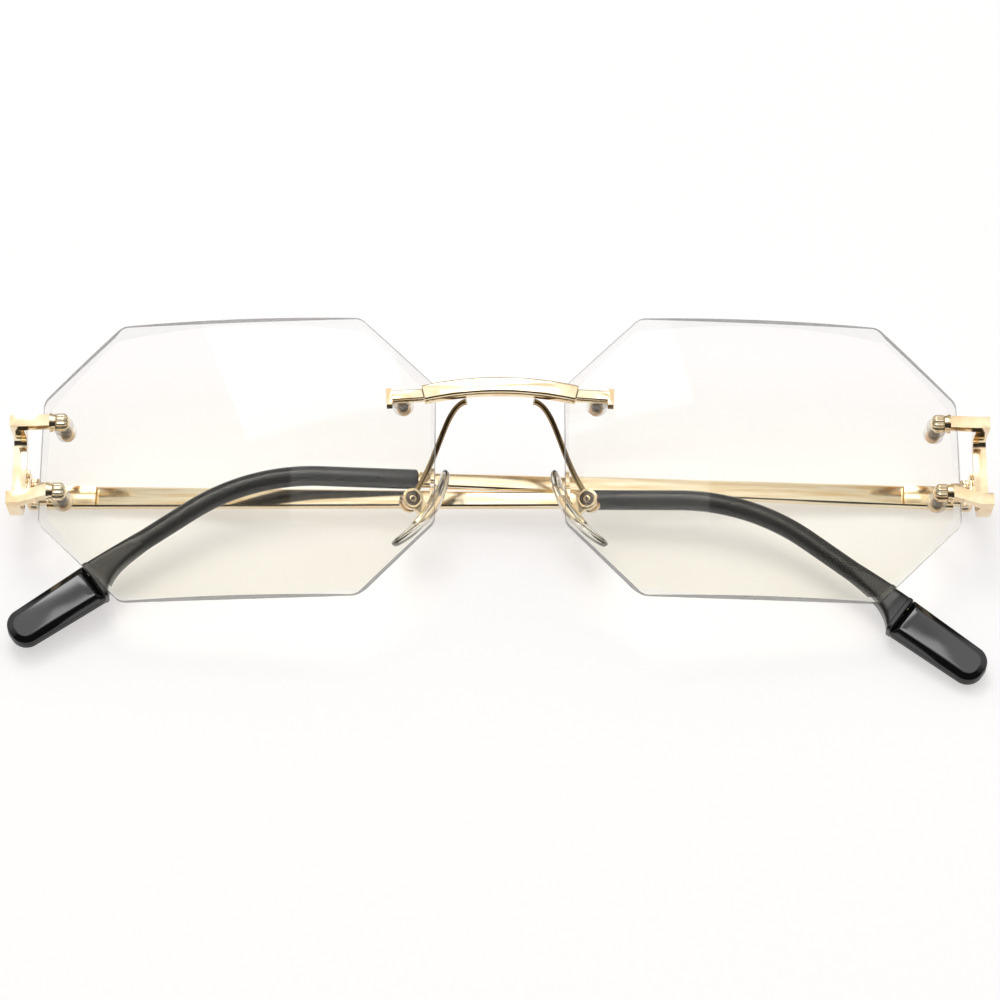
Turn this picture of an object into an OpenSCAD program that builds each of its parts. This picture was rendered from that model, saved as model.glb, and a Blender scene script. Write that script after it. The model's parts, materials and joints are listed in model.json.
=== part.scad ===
// Rimless eyeglasses with octagonal clear lenses, folded and lying on a table with the lenses up.
// The pieces are drawn in the front's own directions: x to the viewer's right, y to the top of the lenses
// and z out of their front. standing() then turns the whole object onto the table, +Z up.
// The right half is drawn and mirrored for the left, apart from the lean of each hinge.

/* [Lenses] */
// Width of one lens
lens_w = 55; // [51:0.5:58]
// Height of one lens
lens_h = 41; // [38:0.5:44]
// Thickness of a lens
lens_t = 2; // [1.6:0.1:2.4]
// Radius of the lens's front curve
lens_curve = 130; // [110:5:180]
// Corner cut off on the nose side
nasal_cut = 10.5; // [8:0.5:12]
// Corner cut off above on the temple side
upper_cut = 10.8; // [8:0.5:12]
// Corner cut off below on the temple side
lower_cut = 12; // [9:0.5:13]
// Radius that softens the corners of the outline
corner_r = 2; // [0.5:0.25:4]
// Width of the bevel ground round the back
bevel_w = 1.2; // [0.6:0.1:1.4]
// Depth of that bevel
bevel_d = 0.9; // [0.4:0.1:1.2]
// Angle by which each lens turns back towards the temple
wrap = 5.5; // [2:0.5:8]

/* [Bridge] */
// Gap between the two lenses
bridge_gap = 18.6; // [16:0.2:22]
// Height of the arched bar, seen from the front
bridge_h = 2.3; // [1.8:0.1:2.8]
// Depth of the arched bar
bridge_d = 2; // [1.6:0.1:2.4]
// Radius of the arch
bridge_curve = 46; // [38:1:60]
// How far the arched bar reaches over each lens
bridge_over = 1.3; // [0.8:0.1:1.6]
// Height of the thinner end bars
end_bar_h = 1.5; // [1.2:0.1:1.8]
// Slope of the end bars, down towards the temples
end_bar_slope = 4; // [0:1:8]
// Thickness of the foot at the end of each end bar
foot_t = 0.8; // [0.5:0.1:1.2]
// Height of that foot
foot_h = 2.4; // [1.8:0.1:3]

/* [Lens fixings] */
// Distance of the nasal hole from the lens's edge
nasal_hole_in = 4.6; // [4:0.1:5.5]
// Height of the nasal hole over the lens's middle
nasal_hole_y = 7.5; // [6:0.25:9]
// Distance of the temple holes from the lens's edge
temple_hole_in = 3.2; // [2.9:0.1:4]
// Height of the upper temple hole over the lens's middle
upper_hole_y = 5.4; // [4.5:0.1:6.5]
// Height of the lower temple hole
lower_hole_y = -4.9; // [-6:0.1:-4]
// Radius of the threaded posts
post_r = 0.6; // [0.5:0.05:0.7]
// Radius of the washers
washer_r = 1.45; // [1.2:0.05:1.6]
// Thickness of the washers
washer_t = 0.4; // [0.35:0.05:0.5]
// Radius of the cap nuts
nut_r = 0.95; // [0.85:0.05:1.1]
// Height of the straight part of a cap nut
nut_h = 0.8; // [0.6:0.1:1.1]

/* [End pieces] */
// Width of the C's flat bar, across the face
band_w = 1.8; // [1.4:0.1:2.2]
// Thickness of the C's back strip
strip_t = 1.4; // [1.1:0.1:1.8]
// Height of the C's two limbs
limb_h = 1.7; // [1.4:0.1:2]
// Level of the C's top
c_top = 6.1; // [5.8:0.1:7]
// Level of the C's bottom
c_bottom = -6.9; // [-8:0.1:-6.2]
// Depth of the C from its front to its back
c_depth = 7.1; // [6.4:0.1:9]
// Radius of the C's outer back corners
c_corner_r = 2.6; // [1.8:0.1:3.2]
// Distance from the lens's edge to the outside of the C
c_reach = 3.8; // [3.4:0.1:5]
// Radius of the fluted caps on the lens
cap_r = 1.25; // [1.1:0.05:1.4]
// Length of a fluted cap
cap_len = 1.9; // [1.5:0.1:2.2]
// Number of flutes round a cap
flutes = 10; // [8:1:12]

/* [Hinges] */
// Length of the lug behind the C
lug_len = 4.2; // [3.5:0.1:6]
// Height of the hinge
hinge_h = 4; // [3.4:0.1:4.6]
// Radius of the hinge barrel
barrel_r = 0.97; // [0.85:0.01:1]
// Radius of the hinge screw
hinge_screw_r = 0.45; // [0.35:0.05:0.5]
// Clearance round a screw that turns in its hole
run_fit = 0.04; // [0.02:0.01:0.06]
// Gap between neighbouring knuckles
knuckle_gap = 0.08; // [0.05:0.01:0.12]
// Level of the hinges
hinge_y = -0.8; // [-1.2:0.1:0]
// Angle by which the folded temples pass square, towards the lenses
over_fold = 3.5; // [3:0.1:4.5]
// Lean of the left hinge, which lets its folded temple drop
lean_left = 1.5; // [1.3:0.1:2]
// Lean of the right hinge, which lets its folded temple rise
lean_right = -0.75; // [-1.2:0.05:-0.6]

/* [Temples] */
// Length of the flat gold bar, from the hinge
bar_len = 77; // [70:1:85]
// Thickness of the flat bar
bar_t = 1.3; // [1.1:0.1:1.4]
// Height of the bar at the hinge
bar_h = 3.3; // [2.8:0.1:3.5]
// Height of the bar where the sleeve starts
bar_end_h = 2.1; // [1.8:0.1:2.3]
// Chamfer along the bar's edges
bar_chamfer = 0.3; // [0.1:0.05:0.4]
// Distance from the hinge to the bend
bend_at = 100.5; // [95:0.5:108]
// Radius of the bend
bend_r = 30; // [22:1:36]
// Angle of the bend
bend_angle = 36.5; // [30:0.5:40]
// Length from the bend to the end of the tip
hook_len = 40.5; // [36:0.5:46]
// Radius of the sleeve
sleeve_r = 1.4; // [1.3:0.05:1.5]
// Radius of the core wire
core_r = 0.6; // [0.5:0.05:0.7]
// Length over which the sleeve widens
flare_len = 6.5; // [5:0.5:9]
// Length of the tip cap
tip_len = 13.5; // [11:0.5:16]
// Width of the tip cap at its seam
tip_w = 5.7; // [5:0.1:6.5]
// Width of the tip cap near its end
tip_end_w = 5.1; // [4.5:0.1:5.7]
// Thickness of the tip cap
tip_t = 3.6; // [3:0.1:4.2]

/* [Nose pads] */
// Radius of the pad arm's wire
arm_r = 0.4; // [0.3:0.05:0.5]
// Distance from the middle to the pad screw
pad_x = 12.3; // [11.5:0.1:13]
// Level of the pad screw
pad_y = -5.1; // [-6:0.1:-4]
// Depth of the pad screw behind the lens's front
pad_z = -5.9; // [-6.4:0.1:-5.4]
// Lean of the pads, outwards below
pad_lean = 33; // [26:1:38]
// Turn of the pads, outwards at the back
pad_turn = 16; // [10:1:22]
// Length of a pad
pad_len = 13.2; // [12:0.2:15]
// Width of a pad
pad_w = 6.6; // [6:0.2:7.2]
// Thickness of a pad
pad_t = 1.8; // [1.5:0.1:2.2]
// Radius of the pad box
box_r = 1.45; // [1.3:0.05:1.6]

/* [Hidden] */

$fn = 48;
gold = "#e8d3a8";
seat = 0.05;        // gap between pieces that are clamped or soldered together
eps = 0.01;         // how far a cut runs past a face
corner_steps = 6;   // straight steps in a rounded corner

// Lens and holes, in the lens's own plane
lens_x = bridge_gap / 2 + lens_w / 2 * cos(wrap);
back_curve = lens_curve - lens_t;
hole_r = post_r + seat;
nasal_u = nasal_hole_in - lens_w / 2;
temple_u = lens_w / 2 - temple_hole_in;
holes = [[nasal_u, nasal_hole_y], [temple_u, upper_hole_y], [temple_u, lower_hole_y]];

// Depth of the lens's front below its crown
function sag(u, v, r) = r - sqrt(r * r - u * u - v * v);
// Point over the lens's front at u, v, in the front's directions
function on_lens(u, v, over) = let (z = over - sag(u, v, lens_curve))
    [lens_x + u * cos(wrap) + z * sin(wrap), v, z * cos(wrap) - u * sin(wrap)];
// Points along an arc
function arc(c, r, from, to, n = corner_steps) =
    [for (i = [0:n]) let (a = from + (to - from) * i / n) c + r * [cos(a), sin(a)]];
// Corner i of a closed outline, rounded by r
function rounded_corner(pts, i, r) = let (
    n = len(pts),
    p = pts[i],
    a = pts[(i + n - 1) % n] - p,
    b = pts[(i + 1) % n] - p,
    ua = a / norm(a),
    ub = b / norm(b),
    half = acos(ua * ub) / 2,
    mid = (ua + ub) / norm(ua + ub),
    c = p + mid * r / sin(half),
    start = atan2(-mid[1], -mid[0]),
    turn = 90 - half,
    side = sign(ua[0] * ub[1] - ua[1] * ub[0])
) arc(c, r, start + side * turn, start - side * turn);
function rounded(pts, r) = [for (i = [0:len(pts) - 1]) each rounded_corner(pts, i, r)];

// Fixings on the lens's front
cap_over = washer_t + 2 * seat + cap_r;
cap_mid = on_lens(temple_u, (upper_hole_y + lower_hole_y) / 2, cap_over);
bar_over = washer_t + 2 * seat + washer_r * sin(wrap) + end_bar_h / 2;
end_bar_at = on_lens(nasal_u, nasal_hole_y, bar_over);

// End piece
c_outside = lens_x + lens_w / 2 * cos(wrap) + c_reach;
c_inside = c_outside - band_w;
c_front = cap_mid[2] + limb_h / 2;
c_back = c_front - c_depth;
upper_limb_y = c_top - limb_h / 2;
lower_limb_y = c_bottom + limb_h / 2;
arm_end_x = cap_mid[0] + cap_len / 2 + 0.6;
collar_t = 0.35;

// Hinge: the barrel lies on the temple's inner face, behind the lug
lug_t = band_w - 0.4;
lug_h = hinge_h - 0.8;
lug_back = c_back - lug_len;
stop_gap = 0.1;
leaf_t = 0.6;
bar_inside = c_outside - bar_t;
barrel_gap = 0.08;
hinge_x = bar_inside - barrel_r - barrel_gap;
bar_start = barrel_r + 0.05;
hinge_z = lug_back - stop_gap - bar_start;
knuckle_h = (hinge_h - 2 * knuckle_gap) / 3;
screw_head_r = 0.8;
screw_head_h = 0.35;
leaf_len = 8.6;
leaf_h = 2.6;

// Temple, in its own directions: x along the bar, y up, z towards the lens when folded
bar_face = -barrel_r - barrel_gap;
bar_back = bar_face - bar_t;
bar_mid = bar_face - bar_t / 2;
bend_cut = bend_r * tan(bend_angle / 2);
seam = hook_len - tip_len;
core_in_tip = 4;
tip_drop = (tip_w - 2 * sleeve_r) / 2 - 0.2;
tip_chamfer = 0.75;
tip_round = 2.1;

// Nose pad, in its own directions: z along the pad screw, x outwards
slot_t = 1.1;
tab_t = slot_t - 2 * 0.06;
tab_r = 0.85;
box_h = 2.8;
web_t = 0.4;
pad_screw_r = 0.4;
pad_head_r = 0.95;
pad_head_h = 0.45;
pad_off = 2.9;
mount_t = 0.35;
mount_l = 5;
mount_w = 2.4;
arm_steps = 16;
arm_sides = 16;
arm_lands = 25;     // angle at which the wire meets the pad box

// Where a point of the folded right temple lies, for a hinge that leans by l
function folded_at(p, l) = let (
    x = p[2] * sin(over_fold) - p[0] * cos(over_fold),
    z = p[0] * sin(over_fold) + p[2] * cos(over_fold)
) [hinge_x + x * cos(l) - p[1] * sin(l), hinge_y + x * sin(l) + p[1] * cos(l), hinge_z + z];
// A point beyond the bend, t along the hook and s over its middle
function hook_at(t, s, z) = [
    bend_at + t * cos(bend_angle) + s * sin(bend_angle), s * cos(bend_angle) - t * sin(bend_angle), z
];

// Stand: the folded glasses rest on both hinge ends and on the lower tip
heel = folded_at([0, -bar_h / 2 + bar_chamfer, bar_back], lean_left);
toe = folded_at(hook_at(hook_len - tip_round, -tip_drop - tip_end_w / 2 + tip_chamfer, bar_mid - tip_t / 2),
    lean_left);
stand = atan((toe[2] - heel[2]) / (heel[1] - toe[1]));
stand_z = -(heel[1] * sin(stand) + heel[2] * cos(stand));
top_edge = on_lens(0, lens_h / 2, 0);
stand_y = -(top_edge[1] * cos(stand) - top_edge[2] * sin(stand) + toe[1] * cos(stand) - toe[2] * sin(stand)) / 2;

module standing() {
    translate([0, stand_y, stand_z]) rotate([stand, 0, 0]) children();
}
// side is 1 for the right half and -1 for its mirror image
module half(side) {
    standing() mirror([side < 0 ? 1 : 0, 0, 0]) children();
}
module in_lens_plane() {
    translate([lens_x, 0, 0]) rotate([0, wrap, 0]) children();
}
module at_hinge(lean) {
    translate([hinge_x, hinge_y, hinge_z]) rotate([0, 0, lean]) children();
}
module folded(lean) {
    at_hinge(lean) rotate([0, over_fold, 0]) mirror([1, 0, 0]) children();
}
module at_pad() {
    translate([pad_x, pad_y, pad_z]) rotate([0, 0, pad_lean]) rotate([0, -pad_turn, 0]) children();
}
// A round bar along y, centred
module along_y(r, h) {
    rotate([90, 0, 0]) cylinder(r = r, h = h, center = true);
}
// A round bar along x from 0
module along_x(r, h) {
    rotate([0, 90, 0]) cylinder(r = r, h = h);
}

lens_outline = let (w = lens_w / 2, h = lens_h / 2) [
    [-w + nasal_cut, h], [-w, h - nasal_cut], [-w, nasal_cut - h], [nasal_cut - w, -h],
    [w - lower_cut, -h], [w, lower_cut - h], [w, h - upper_cut], [w - upper_cut, h]
];

// The wedge that grinds one side of the back bevel
module bevel_cut(a, b) {
    run = norm(b - a);
    dir = atan2(b[1] - a[1], b[0] - a[0]);
    mid = (a + b) / 2;
    edge_z = -sag(mid[0], mid[1], back_curve) - lens_t;
    lift = (sag(a[0], a[1], back_curve) - sag(mid[0], mid[1], back_curve)) / 2;
    translate([mid[0], mid[1], edge_z + bevel_d - lift]) rotate([0, 0, dir]) rotate([-atan(bevel_d / bevel_w), 0, 0])
        translate([-run, -lens_h / 4, -lens_t * 2]) cube([2 * run, lens_h / 2, lens_t * 2]);
}

module lens() {
    in_lens_plane() difference() {
        intersection() {
            translate([0, 0, -lens_w / 2]) linear_extrude(lens_w) polygon(rounded(lens_outline, corner_r));
            translate([0, 0, -lens_curve]) sphere(r = lens_curve, $fn = 200);
        }
        translate([0, 0, -lens_curve]) sphere(r = back_curve, $fn = 200);
        for (i = [0:len(lens_outline) - 1])
            bevel_cut(lens_outline[i], lens_outline[(i + 1) % len(lens_outline)]);
        for (h = holes)
            translate([h[0], h[1], -lens_w / 2]) cylinder(r = hole_r, h = lens_w);
    }
}

// What stands on a hole's axis: z is 0 on the lens's front and runs out of it
module on_hole(h) {
    in_lens_plane() translate([h[0], h[1], -sag(h[0], h[1], lens_curve)]) children();
}
back_at = -lens_t - 0.2;

// Each washer is flat outside and follows the lens inside
module lens_washers() {
    for (h = holes) {
        difference() {
            on_hole(h) translate([0, 0, -washer_t]) cylinder(r = washer_r, h = 2 * washer_t + seat);
            in_lens_plane() translate([0, 0, -lens_curve]) sphere(r = lens_curve + seat, $fn = 200);
            on_hole(h) translate([0, 0, -lens_t]) cylinder(r = hole_r, h = 2 * lens_t);
        }
        difference() {
            intersection() {
                on_hole(h) translate([0, 0, back_at - washer_t]) cylinder(r = washer_r, h = 3 * washer_t);
                in_lens_plane() translate([0, 0, -lens_curve]) sphere(r = back_curve - seat, $fn = 200);
            }
            on_hole(h) translate([0, 0, -2 * lens_t]) cylinder(r = hole_r, h = 2 * lens_t);
        }
    }
}

post_end = back_at - washer_t - nut_h - 0.25;

module lens_nuts() {
    for (h = holes) on_hole(h) difference() {
        union() {
            translate([0, 0, back_at - washer_t - seat - nut_h]) cylinder(r = nut_r, h = nut_h);
            intersection() {
                translate([0, 0, back_at - washer_t - seat - nut_h]) sphere(r = nut_r);
                translate([0, 0, back_at - washer_t - seat - nut_h - nut_r])
                    cylinder(r = nut_r + 1, h = nut_r + eps);
            }
        }
        translate([0, 0, post_end - seat]) cylinder(r = hole_r, h = lens_w);
    }
}

module post(h, from) {
    on_hole(h) translate([0, 0, post_end]) cylinder(r = post_r, h = from - post_end);
}

bar_profile = let (h = bridge_h / 2, d = bridge_d / 2) [[-h, -d], [h, -d], [h, d], [-h, d]];
end_profile = let (h = end_bar_h / 2) [[-h, -h], [h, -h], [h, h], [-h, h]];
half_arch = asin((bridge_gap / 2 + bridge_over) / bridge_curve);
arch_y = end_bar_at[1] + 0.25 - bridge_curve * cos(half_arch);
arch_z = end_bar_at[2] + 0.1;
end_bar_out = nasal_hole_in - bridge_over + 1.1;

module bridge() {
    translate([0, arch_y, arch_z]) rotate([0, 0, 90 - half_arch])
        rotate_extrude(angle = 2 * half_arch, $fn = 240)
            translate([bridge_curve, 0]) polygon(rounded(bar_profile, 0.35));
    for (side = [-1, 1]) mirror([side < 0 ? 1 : 0, 0, 0]) {
        translate(end_bar_at) rotate([0, 0, -end_bar_slope]) {
            translate([-nasal_hole_in + bridge_over - 0.6, 0, 0]) rotate([0, 90, 0])
                linear_extrude(nasal_hole_in - bridge_over + 0.6 + 1.1 + eps) polygon(rounded(end_profile, 0.25));
            translate([1.1, -foot_h / 2 - 0.15, -end_bar_h / 2]) cube([foot_t, foot_h, end_bar_h]);
        }
        post(holes[0], bar_over);
    }
}

// The C, seen from its side: x runs back from its front
c_outline = concat(
    [[0, c_top]],
    arc([c_depth - c_corner_r, c_top - c_corner_r], c_corner_r, 90, 0, 8),
    arc([c_depth - c_corner_r, c_bottom + c_corner_r], c_corner_r, 0, -90, 8),
    [[0, c_bottom], [0, c_bottom + limb_h]],
    arc([c_depth - c_corner_r, c_bottom + c_corner_r], c_corner_r - strip_t, -90, 0, 6),
    arc([c_depth - c_corner_r, c_top - c_corner_r], c_corner_r - strip_t, 0, 90, 6),
    [[0, c_top - limb_h]]
);

// One front arm of the C, from its limb to the collar beside the fluted cap
module c_arm(limb_y, hole_y) {
    depth = limb_h - 0.2;
    translate([0, 0, c_front - depth]) linear_extrude(depth) polygon([
        [c_outside - 0.2, limb_y - limb_h / 2], [c_outside - 0.2, limb_y + limb_h / 2],
        [c_inside, limb_y + limb_h / 2], [arm_end_x, hole_y + limb_h / 2],
        [arm_end_x, hole_y - limb_h / 2], [c_inside, limb_y - limb_h / 2]
    ]);
}

module c_collar(h) {
    at = on_lens(h[0], h[1], cap_over);
    translate([arm_end_x - collar_t, at[1], at[2]]) along_x(cap_r + 0.1, collar_t + eps);
    translate([arm_end_x - 2 * collar_t - 0.1, at[1], at[2]]) along_x(cap_r - 0.05, collar_t + 0.2);
    translate([arm_end_x - 2 * collar_t - 0.1 - cap_len / 2, at[1], at[2]]) along_x(cap_r / 2, cap_len / 2 + eps);
}

module end_piece(lean) {
    translate([c_inside, 0, c_front]) rotate([0, 90, 0]) linear_extrude(band_w) polygon(c_outline);
    c_arm(upper_limb_y, upper_hole_y);
    c_arm(lower_limb_y, lower_hole_y);
    at_hinge(lean) translate([c_outside - hinge_x - lug_t, -lug_h / 2, stop_gap + bar_start])
        cube([lug_t, lug_h, lug_len + strip_t / 2]);
    for (h = [holes[1], holes[2]]) {
        c_collar(h);
        post(h, cap_over);
    }
}

// A fluted cap: a drum with rounded end, ribbed along its length
module fluted_cap(h) {
    at = on_lens(h[0], h[1], cap_over);
    end_x = arm_end_x - 2 * collar_t - 0.1 - seat;
    difference() {
        intersection() {
            translate([end_x - cap_len, at[1], at[2]]) along_x(cap_r, cap_len);
            translate([end_x - cap_len + cap_r * 1.15, at[1], at[2]]) sphere(r = cap_r * 1.15);
        }
        for (i = [0:flutes - 1]) let (a = 360 * (i + 0.5) / flutes)
            translate([end_x - cap_len - eps, at[1] + cap_r * 1.08 * cos(a), at[2] + cap_r * 1.08 * sin(a)])
                along_x(cap_r * 0.22, cap_len + 2 * eps);
        translate([end_x - cap_len / 2, at[1], at[2]]) along_x(cap_r / 2 + seat, cap_len);
        on_hole(h) translate([0, 0, -lens_t]) cylinder(r = post_r + seat, h = lens_t + cap_over + post_r);
    }
}

// The half of the hinge that is soldered to the lug: two outer knuckles
module hinge_front(lean) {
    plate_x = c_outside - hinge_x - lug_t - seat;
    at_hinge(lean) difference() {
        union() {
            along_y(barrel_r, hinge_h);
            translate([plate_x - leaf_t, -hinge_h / 2, 0]) cube([leaf_t, hinge_h, stop_gap + bar_start + 3]);
        }
        along_y(barrel_r + 0.25, knuckle_h + 2 * knuckle_gap);
        translate([plate_x - 2 * leaf_t, -knuckle_h / 2 - knuckle_gap, -1])
            cube([3 * leaf_t, knuckle_h + 2 * knuckle_gap, 1 + barrel_r + 0.25]);
        along_y(hinge_screw_r + run_fit, hinge_h + 1);
        translate([0, hinge_h / 2 - screw_head_h / 2 + eps, 0]) along_y(screw_head_r + run_fit, screw_head_h + 2 * eps);
    }
}

module hinge_screw(lean) {
    at_hinge(lean) difference() {
        union() {
            along_y(hinge_screw_r, hinge_h - 0.1);
            translate([0, hinge_h / 2 - screw_head_h / 2 + 0.04, 0]) along_y(screw_head_r, screw_head_h);
        }
        translate([-screw_head_r - eps, hinge_h / 2 - 0.12, -0.1]) cube([2 * screw_head_r + 2 * eps, 1, 0.2]);
    }
}

// The half of the hinge that is soldered to the temple bar: the middle knuckle
module hinge_leaf(lean) {
    folded(lean) difference() {
        union() {
            along_y(barrel_r, knuckle_h);
            translate([0, -knuckle_h / 2, bar_face + seat]) cube([leaf_len / 2, knuckle_h, leaf_t]);
            translate([barrel_r + 0.3, -leaf_h / 2, bar_face + seat]) cube([leaf_len - barrel_r - 0.3, leaf_h, leaf_t]);
        }
        along_y(hinge_screw_r + run_fit, hinge_h);
    }
}

// The wire inside the sleeve, or a tube round it, from a to the distance t along the hook.
// The bend is a hair thinner and runs a little way into both straight lengths.
module along_temple(r, a, t) {
    lap = 0.2;
    translate([a, 0, bar_mid]) along_x(r, bend_at - bend_cut - a);
    translate([bend_at - bend_cut, -bend_r, bar_mid]) rotate([0, 0, 90 - bend_angle - lap])
        rotate_extrude(angle = bend_angle + 2 * lap, $fn = 240) translate([bend_r, 0]) circle(r = r - eps);
    on_hook() translate([bend_cut, 0, 0]) along_x(r, t - bend_cut);
}
module on_hook() {
    translate([bend_at, 0, bar_mid]) rotate([0, 0, -bend_angle]) children();
}

module temple_bar(lean) {
    taper = atan((bar_h - bar_end_h) / 2 / (bar_len + bar_start));
    long = 2 * (bar_len + bar_start);
    folded(lean) difference() {
        union() {
            translate([0, 0, bar_back]) linear_extrude(bar_t) polygon([
                [-bar_start, -bar_h / 2], [bar_len, -bar_end_h / 2], [bar_len, bar_end_h / 2], [-bar_start, bar_h / 2]
            ]);
            along_temple(core_r, bar_len - 1, seam + core_in_tip);
        }
        for (s = [-1, 1], z = [bar_face, bar_back])
            translate([-bar_start, s * bar_h / 2, z]) rotate([0, 0, -s * taper]) rotate([45, 0, 0])
                translate([-long / 4, -bar_chamfer / sqrt(2), -bar_chamfer / sqrt(2)])
                    cube([long / 4 + bar_len + bar_start - 0.2, bar_chamfer * sqrt(2), bar_chamfer * sqrt(2)]);
    }
}

// A slice of the flare, w wide and t thick, its upper edge on the sleeve's
module flare_slice(x, w, t, r) {
    translate([x, sleeve_r - w / 2, 0]) rotate([90, 0, 90])
        linear_extrude(0.02) polygon(rounded([[-w / 2, -t / 2], [w / 2, -t / 2], [w / 2, t / 2], [-w / 2, t / 2]], r));
}

module temple_sleeve(lean) {
    d = 2 * sleeve_r;
    folded(lean) difference() {
        union() {
            along_temple(sleeve_r, bar_len + seat, seam - flare_len / 2);
            on_hook() {
                hull() {
                    flare_slice(seam - flare_len, d - 0.02, d - 0.02, sleeve_r - 0.05);
                    flare_slice(seam - flare_len / 2, d + (tip_w - d) * 0.3, d + (tip_t - d) / 2, 1.1);
                }
                hull() {
                    flare_slice(seam - flare_len / 2, d + (tip_w - d) * 0.3, d + (tip_t - d) / 2, 1.1);
                    flare_slice(seam - flare_len / 5, d + (tip_w - d) * 0.75, d + (tip_t - d) * 0.85, 0.9);
                }
                hull() {
                    flare_slice(seam - flare_len / 5, d + (tip_w - d) * 0.75, d + (tip_t - d) * 0.85, 0.9);
                    flare_slice(seam - seat - 0.02, tip_w, tip_t, 0.7);
                }
            }
        }
        along_temple(core_r + seat, bar_len - 1, seam + 1);
    }
}

tip_outline = let (h = sleeve_r, b = sleeve_r - tip_w, e = (tip_w - tip_end_w) / 2) [
    [seam, h], [seam, b], [hook_len, b + e], [hook_len, h - e]
];
// The tip cap's outline, drawn in by d on every side but its seam
function tip_shape(d) = let (p = tip_outline) concat(
    [[seam, p[0][1] - d], [seam, p[1][1] + d]],
    rounded_corner([[seam, p[1][1] + d], [hook_len - d, p[2][1] + d], [hook_len - d, p[3][1] - d], [seam, p[0][1] - d]],
        1, tip_round),
    rounded_corner([[seam, p[1][1] + d], [hook_len - d, p[2][1] + d], [hook_len - d, p[3][1] - d], [seam, p[0][1] - d]],
        2, tip_round)
);

module temple_tip(lean) {
    folded(lean) difference() {
        on_hook() hull() {
            translate([0, 0, -tip_t / 2 + tip_chamfer]) linear_extrude(tip_t - 2 * tip_chamfer) polygon(tip_shape(0));
            translate([0, 0, -tip_t / 2]) linear_extrude(tip_t) polygon(tip_shape(tip_chamfer));
        }
        along_temple(core_r + seat, bar_len, seam + core_in_tip + seat);
    }
}

// The pad arm's wire follows one smooth curve from the bridge's back to the pad box
arm_from = [bridge_gap / 4, end_bar_at[1] - 0.1, arch_z - bridge_d / 2 - arm_r - seat];
arm_to = [pad_x, pad_y, pad_z] + (box_r + 2 * seat) * [-sin(arm_lands), cos(arm_lands), 0];
arm_bends = [arm_from + [3, -0.3, -0.9], arm_to + [-3.3, 5, 0.5]];
function along_arm(t) = let (s = 1 - t)
    s * s * s * arm_from + 3 * s * s * t * arm_bends[0] + 3 * s * t * t * arm_bends[1] + t * t * t * arm_to;

// Direction of the curve at t, and a ring of points round it
function arm_way(t) = let (d = along_arm(t + 0.01) - along_arm(t - 0.01)) d / norm(d);
function arm_ring(t, r) = let (
    w = arm_way(t),
    c = cross(w, [0, 0.3, 1]),
    u = c / norm(c),
    v = cross(u, w)
) [for (i = [0:arm_sides - 1]) let (a = 360 * i / arm_sides) along_arm(t) + r * (cos(a) * u + sin(a) * v)];

module pad_arm() {
    n = arm_sides;
    m = arm_steps;
    polyhedron(
        points = [for (k = [0:m]) each arm_ring(k / m, arm_r)],
        faces = concat(
            [[for (i = [0:n - 1]) i]],
            [[for (i = [0:n - 1]) m * n + n - 1 - i]],
            [for (k = [0:m - 1], i = [0:n - 1]) let (j = (i + 1) % n)
                [k * n + i, k * n + n + i, k * n + n + j, k * n + j]]
        )
    );
}

module pad_box() {
    at_pad() difference() {
        cylinder(r = box_r, h = box_h, center = true);
        translate([-box_r - web_t, -2 * box_r, -slot_t / 2]) cube([2 * box_r, 4 * box_r, slot_t]);
        cylinder(r = pad_screw_r + run_fit, h = 2 * box_h, center = true);
        translate([0, 0, box_h / 2 - pad_head_h]) cylinder(r = pad_head_r + run_fit, h = pad_head_h + 1);
    }
}

module pad_screw() {
    at_pad() difference() {
        union() {
            translate([0, 0, -box_h / 2]) cylinder(r = pad_screw_r, h = box_h - 0.1);
            translate([0, 0, box_h / 2 - pad_head_h + 0.03]) cylinder(r = pad_head_r, h = pad_head_h - 0.06);
        }
        for (a = [0, 90]) rotate([0, 0, a + 20])
            translate([-pad_head_r * 0.7, -0.13, box_h / 2 - 0.25]) cube([pad_head_r * 1.4, 0.26, 1]);
    }
}

// The metal plate inside the pad, with the tab that the screw holds
module pad_mount() {
    at_pad() difference() {
        union() {
            cylinder(r = tab_r, h = tab_t, center = true);
            translate([-pad_off + mount_t / 2, -tab_r, -tab_t / 2]) cube([pad_off - mount_t / 2, 2 * tab_r, tab_t]);
            translate([-pad_off - mount_t / 2, -mount_l / 2, -mount_w / 2]) cube([mount_t, mount_l, mount_w]);
        }
        cylinder(r = pad_screw_r + run_fit, h = 2 * tab_t, center = true);
    }
}

pad_rim = [for (i = [0:39]) let (a = 360 * i / 40) [pad_len / 2 * sin(a) - 0.4 * cos(a) * cos(a),
    pad_w / 2 * cos(a) * (1 - 0.14 * sin(a))]];

module nose_pad() {
    dome = 16;
    at_pad() difference() {
        intersection() {
            translate([-pad_off - pad_t / 2, 0, 0]) rotate([0, 90, 0]) rotate([0, 0, 90])
                linear_extrude(pad_t) polygon(pad_rim);
            translate([dome - pad_off - pad_t / 2, 0, 0]) sphere(r = dome, $fn = 120);
        }
        translate([-pad_off - mount_t / 2 - seat, -mount_l / 2 - seat, -mount_w / 2 - seat])
            cube([mount_t + 2 * seat, mount_l + 2 * seat, mount_w + 2 * seat]);
        translate([-pad_off, -tab_r - seat, -tab_t / 2 - seat]) cube([pad_t, 2 * tab_r + 2 * seat, tab_t + 2 * seat]);
    }
}

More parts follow.
